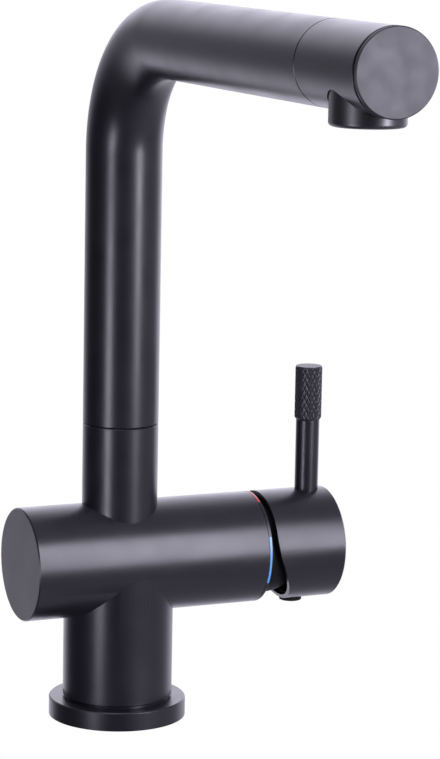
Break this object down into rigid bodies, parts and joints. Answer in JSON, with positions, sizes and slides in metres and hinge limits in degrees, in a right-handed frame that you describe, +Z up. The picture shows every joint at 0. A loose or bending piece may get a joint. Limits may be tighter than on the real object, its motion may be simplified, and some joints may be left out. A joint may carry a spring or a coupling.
{
  "type": "kitchen tap",
  "caption": "Kitchen mixer tap: upright column with a level barrel, a side lever in a round cap, a tall bent tube spout that swivels, and a pull-out spray head docked in its end.",
  "frame": {"origin": "centre of the foot on the worktop, on the axis that the spout swivels about", "axes": "+Z up, -Y forward along the spout's arm, +X to the lever's side"},
  "size_m": [0.1439, 0.278, 0.3881],
  "materials": {
    "black_coating": "satin black coating",
    "black_face": "satin black coating on a faced end",
    "black_gloss": "glossy black coating",
    "black_plastic": "matt black plastic",
    "hot_red": "red enamel",
    "cold_blue": "blue enamel",
    "seal_rubber": "black rubber",
    "hose_cover": "grey hose",
    "white_plastic": "natural plastic",
    "ceramic": "ground ceramic",
    "plain_brass": "turned brass",
    "plain_steel": "zinc plated steel"
  },
  "bodies": {
    "root": {"base_seal": "seal_rubber", "base_ring": "black_coating", "mixer_body": "black_coating", "hose_grommet": "black_plastic", "index_ring": "black_coating", "hot_mark": "hot_red", "cold_mark": "cold_blue", "cartridge_base": "white_plastic", "cartridge_base_seals": "seal_rubber", "fixed_ceramic_disc": "ceramic", "cartridge_housing": "white_plastic", "cartridge_nut": "plain_brass", "dome_cover": "black_plastic", "spout_stub": "black_coating", "swivel_spigot": "plain_brass", "spigot_seals": "seal_rubber", "swivel_guide_ring": "black_plastic", "fixing_stud": "plain_steel", "horseshoe_rubber": "seal_rubber", "horseshoe_plate": "plain_steel", "fixing_nut": "plain_steel"},
    "cartridge_turn": {"cartridge_rotor": "white_plastic", "rotor_pin": "plain_steel"},
    "disc_slide": {"moving_ceramic_disc": "ceramic", "disc_carrier": "white_plastic"},
    "handle": {"cartridge_stem": "plain_steel", "handle_cap": "black_coating", "handle_set_screw": "plain_steel", "screw_plug": "black_plastic", "lever_rod": "black_coating", "knurled_grip": "black_coating"},
    "spout": {"spout_tube": "black_coating", "spout_foot_bush": "white_plastic", "spout_grub_screw": "plain_steel", "arm_liner": "white_plastic", "hose_rear_run": "hose_cover"},
    "head": {"head_shell": "black_coating", "head_end_cap": "black_face", "head_core": "white_plastic", "docking_collar": "plain_brass", "collar_o_ring": "seal_rubber", "hose_coupling": "plain_brass", "hose_front_run": "hose_cover", "check_valve": "white_plastic", "nozzle": "black_gloss", "aerator_insert": "white_plastic", "aerator_mesh": "black_plastic", "aerator_seal": "seal_rubber"}
  },
  "joints": [
    {"name": "lever_temperature", "type": "hinge", "parent": "root", "child": "cartridge_turn", "pos_m": [0.0668, 0, 0.0703], "axis": [1, 0, 0], "range_deg": [0, 90]},
    {"name": "lever_flow", "type": "hinge", "parent": "cartridge_turn", "child": "handle", "pos_m": [0.0668, 0, 0.0703], "axis": [0, 1, 0], "range_deg": [0, 20]},
    {"name": "disc_shift", "type": "slide", "parent": "cartridge_turn", "child": "disc_slide", "axis": [0, 0, 1], "range_m": [0, 0.00447]},
    {"name": "spout_swivel", "type": "hinge", "parent": "root", "child": "spout", "pos_m": [0, 0, 0.1295], "axis": [0, 0, 1], "range_deg": [-180, 180]},
    {"name": "head_pull", "type": "slide", "parent": "spout", "child": "head", "axis": [0, -1, 0], "range_m": [0, 0.13]}
  ],
  "couplings": [
    {"joint": "disc_shift", "follows": "lever_flow", "m_per_rad": 0.01275}
  ]
}
